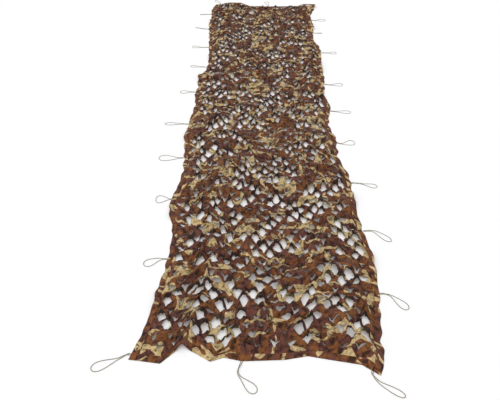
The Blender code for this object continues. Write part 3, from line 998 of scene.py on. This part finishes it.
def cord_material(colours):
    """Braided polypropylene cord: eight strands make a slanting, slightly shiny relief."""
    made, tree = new_material("braided_polypropylene_cord")
    place = node(tree, "TexCoord").outputs["Object"]
    braid = strands(tree, place, "DIAGONAL", DRAWN_STRAND, 1.0)
    wear = step_between(tree, noise(tree, place, CORD_WEAR), 0.2, 0.7)
    share = math_of(tree, "MULTIPLY", braid, wear)
    colour = blend(tree, share, linear(colours.cord_dark), linear(colours.cord))
    shine(
        tree,
        Base_Color=colour,
        Roughness=0.55,
        IOR=1.49,
        Sheen_Weight=0.1,
        Normal=relief(tree, braid, 0.6, 0.0006),
    )
    return made


def floor_material():
    """Matt white paper sweep. It glows faintly warm, which is painted light: it lifts the shadows
    under the net and tints them warm.
    """
    made, tree = new_material("faintly_glowing_paper_floor")
    place = node(tree, "TexCoord").outputs["Object"]
    shine(
        tree,
        Base_Color=linear(srgb("#f1f2f4")),
        Roughness=0.9,
        # Painted light: a faint warm glow that lifts and warms the shadows on the floor.
        Emission_Color=linear(srgb("#ffe9d2")),
        Emission_Strength=0.06,
        Normal=relief(tree, noise(tree, place, PAPER_GRAIN), 0.05, 0.001),
    )
    return made


# --- what a user may change ---
class NettingSizes(bpy.types.PropertyGroup):
    pitch: FloatProperty(
        name="Slit pitch",
        description="From slit to slit across the net",
        default=0.10143,
        unit="LENGTH",
    )
    band: FloatProperty(
        name="Row pitch",
        description="From row to row while the slits are shut",
        default=0.05363,
        unit="LENGTH",
    )
    neck: FloatProperty(
        name="Neck", description="Uncut cloth between two slits of a row", default=0.036, unit="LENGTH"
    )
    depth: FloatProperty(
        name="Slit depth", description="From a slit's ends to its middle", default=0.044, unit="LENGTH"
    )
    arch: FloatProperty(
        name="Fold arch",
        description="How far above its slit a tongue folds back",
        default=0.036,
        unit="LENGTH",
    )
    roll: FloatProperty(
        name="Fold roll", description="Radius of a tongue's fold", default=0.0045, unit="LENGTH"
    )
    hem: FloatProperty(
        name="Hem width", description="Width of the turned hem", default=0.038, unit="LENGTH"
    )


class NettingColours(bpy.types.PropertyGroup):
    red_brown: FloatVectorProperty(
        name="Red brown",
        description="First ground colour",
        default=srgb("#663b2f"),
        subtype="COLOR_GAMMA",
    )
    rust_brown: FloatVectorProperty(
        name="Rust brown",
        description="Second ground colour",
        default=srgb("#7b4a25"),
        subtype="COLOR_GAMMA",
    )
    tan: FloatVectorProperty(
        name="Tan",
        description="Colour of the pale blotches",
        default=srgb("#d3b987"),
        subtype="COLOR_GAMMA",
    )
    olive: FloatVectorProperty(
        name="Olive",
        description="Small spots in the pale blotches",
        default=srgb("#7d6a3c"),
        subtype="COLOR_GAMMA",
    )
    # Near-black: the cloth's unprinted back, darkened into painted shade for the turned tongues.
    reverse: FloatVectorProperty(
        name="Reverse",
        description="Unprinted back of the cloth",
        default=srgb("#1c110c"),
        subtype="COLOR_GAMMA",
    )
    cord: FloatVectorProperty(
        name="Cord",
        description="Raised strands of the ties",
        default=srgb("#9a9070"),
        subtype="COLOR_GAMMA",
    )
    cord_dark: FloatVectorProperty(
        name="Cord shade",
        description="Grooves of the ties",
        default=srgb("#686046"),
        subtype="COLOR_GAMMA",
    )


class TieSizes(bpy.types.PropertyGroup):
    diameter: FloatProperty(
        name="Diameter", description="Thickness of the cord", default=0.004, unit="LENGTH"
    )


class StageSizes(bpy.types.PropertyGroup):
    camera: FloatVectorProperty(
        name="Camera",
        description="Where the camera stands",
        default=(-0.050, -4.490, 2.580),
        subtype="XYZ",
    )
    tilt: FloatVectorProperty(
        name="Camera turn",
        description="How the camera is turned",
        default=(math.radians(49.17), 0.0, math.radians(1.07)),
        subtype="EULER",
    )
    lens: FloatProperty(name="Lens", description="Focal length in millimetres", default=35.0)
    floor: FloatProperty(name="Floor", description="Side of the floor", default=60.0, unit="LENGTH")
    sky: FloatProperty(name="Sky", description="Strength of the light from all round", default=0.66)
    lamp: FloatProperty(name="Lamp", description="Strength of the large lamp", default=1.65)
    softness: FloatProperty(
        name="Softness", description="How wide the lamp looks, in degrees", default=110.0
    )


# --- operators ---
LAMP_PLACE = (-2.8, -1.2, 4.2)  # only its direction from the middle of the floor matters


class NETTING_OT_stage(bpy.types.Operator):
    """Sets up the camera, the soft light and the pale floor"""

    bl_idname = "netting.stage"
    bl_label = "Set the stage"

    def execute(self, context):
        sizes = context.scene.netting_stage
        camera = bpy.data.cameras.new("camera")
        camera.lens = sizes.lens
        camera.sensor_width = 36.0
        camera.clip_end = 100.0
        viewer = placed("camera", camera)
        viewer.location = sizes.camera
        viewer.rotation_euler = sizes.tilt
        context.scene.camera = viewer

        bpy.ops.mesh.primitive_plane_add(size=sizes.floor)
        floor = context.object
        floor.name = "floor"
        floor.data.materials.append(floor_material())

        lamp = bpy.data.lights.new("soft_box", "SUN")
        lamp.angle = math.radians(sizes.softness)
        lamp.energy = sizes.lamp
        box = placed("soft_box", lamp)
        box.location = LAMP_PLACE
        box.rotation_euler = (-Vector(LAMP_PLACE)).to_track_quat("-Z", "Y").to_euler()

        world = bpy.data.worlds.new("soft_light")
        context.scene.world = world
        world.use_nodes = True
        sky = world.node_tree.nodes["Background"]
        sky.inputs["Color"].default_value = (1, 1, 1, 1)
        sky.inputs["Strength"].default_value = sizes.sky
        context.scene.view_settings.view_transform = "Standard"
        return {"FINISHED"}


class NETTING_OT_ties(bpy.types.Operator):
    """Lays the cord ties on the floor round the net"""

    bl_idname = "netting.ties"
    bl_label = "Lay the ties"

    def execute(self, context):
        diameter = context.scene.netting_tie.diameter
        braid = cord_material(context.scene.netting_colours)
        for name, *way in TIES:
            route = tie_route(*way, diameter)
            cord = cord_curve(f"{name}_cord", route, diameter)
            cord.data.materials.append(braid)
            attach(cord, "root")
            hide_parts(name)
        return {"FINISHED"}


class NETTING_OT_cloth(bpy.types.Operator):
    """Makes the incised cloth with its turned hem"""

    bl_idname = "netting.cloth"
    bl_label = "Make the net"

    def execute(self, context):
        sizes = context.scene.netting_sizes
        cut = Cut(sizes)
        points, faces, flat, turned, cut_shade_mask = cloth_mesh(cut, np.random.default_rng(SEED))
        cloth = add_mesh("incised_cloth", points, faces)
        layer = cloth.data.uv_layers.new(name="flat")
        corners = flat[faces].reshape(-1, 4, 2)
        centre = corners.mean(1)
        in_hem = from_hem(centre[:, 0], centre[:, 1], cut) < sizes.hem
        corners[..., 1] *= FLAT_LENGTH / cut.length
        corners[in_hem] += PRINT_SHIFT_IN_HEM
        layer.data.foreach_set("uv", corners.astype(np.float32).ravel())
        # The turn sets where tongues take the near-black back colour, partly painted shade; the cut
        # mask sets the painted shade along the cut edges.
        for name, value in (("turned_back", turned), ("painted_cut_edge_shade", cut_shade_mask)):
            made = cloth.data.attributes.new(name, "FLOAT", "POINT")
            made.data.foreach_set("value", value.astype(np.float32))
        cloth.data.materials.append(cloth_material(context.scene.netting_colours))
        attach(cloth, "root")
        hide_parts("netting")
        return {"FINISHED"}


class NETTING_PT_panel(bpy.types.Panel):
    bl_label = "Camouflage netting"
    bl_idname = "NETTING_PT_panel"
    bl_space_type = "VIEW_3D"
    bl_region_type = "UI"
    bl_category = "Netting"

    def draw(self, context):
        layout = self.layout
        for operator in OPERATORS:
            layout.operator(operator.bl_idname)
        for group in GROUPS:
            settings = getattr(context.scene, group)
            for name in settings.bl_rna.properties.keys():
                if name not in ("name", "rna_type"):
                    layout.prop(settings, name)


OPERATORS = (NETTING_OT_stage, NETTING_OT_ties, NETTING_OT_cloth)
GROUPS = {
    "netting_sizes": NettingSizes,
    "netting_colours": NettingColours,
    "netting_tie": TieSizes,
    "netting_stage": StageSizes,
}
CLASSES = (*GROUPS.values(), *OPERATORS, NETTING_PT_panel)


def register():
    for made in CLASSES:
        bpy.utils.register_class(made)
    for name, group in GROUPS.items():
        setattr(bpy.types.Scene, name, PointerProperty(type=group))


def unregister():
    for name in GROUPS:
        delattr(bpy.types.Scene, name)
    for made in reversed(CLASSES):
        bpy.utils.unregister_class(made)


def main():
    register()
    bpy.ops.object.select_all(action="DESELECT")
    bpy.ops.netting.stage()
    bpy.ops.netting.ties()
    bpy.ops.netting.cloth()


if __name__ == "__main__":
    main()
